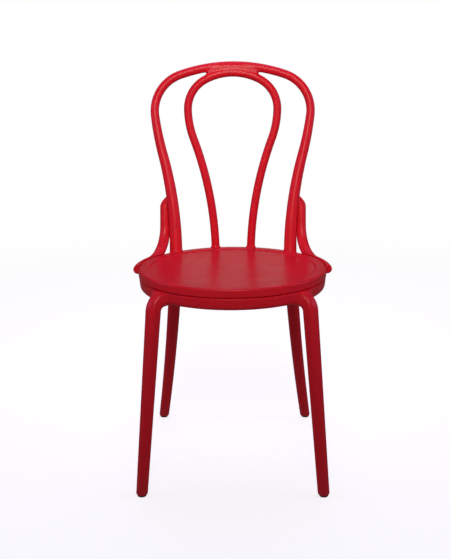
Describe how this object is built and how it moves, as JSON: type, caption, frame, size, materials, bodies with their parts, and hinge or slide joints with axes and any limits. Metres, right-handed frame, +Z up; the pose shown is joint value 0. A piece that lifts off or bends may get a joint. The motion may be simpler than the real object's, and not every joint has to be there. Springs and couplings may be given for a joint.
{
  "type": "chair",
  "caption": "Moulded plastic bistro chair in the bentwood style: round dished seat on an apron ring with splayed legs, a double-hoop back and hip braces",
  "frame": {"origin": "on the floor under the centre of the chair's overall footprint", "axes": "+X to the right seen from the front, +Y towards the back, +Z up"},
  "size_m": [0.4378, 0.4731, 0.8815],
  "materials": {
    "moulded_red": "satin to semi-gloss moulded polypropylene, crimson red",
    "glide_dark": "dull dark nylon",
    "zinc_steel": "bright zinc-plated steel",
    "insert_brass": "turned brass"
  },
  "bodies": {
    "root": {"seat_panel": "moulded_red", "base_frame": "moulded_red", "back_frame": "moulded_red", "hip_brace_left": "moulded_red", "hip_brace_right": "moulded_red", "glide_front_left": "glide_dark", "glide_front_right": "glide_dark", "glide_rear_left": "glide_dark", "glide_rear_right": "glide_dark", "post_bolts": "zinc_steel", "post_washers": "zinc_steel", "post_inserts": "insert_brass", "brace_seat_screws": "zinc_steel", "brace_post_screws": "zinc_steel", "screw_caps": "moulded_red", "panel_screws": "zinc_steel"}
  },
  "joints": []
}
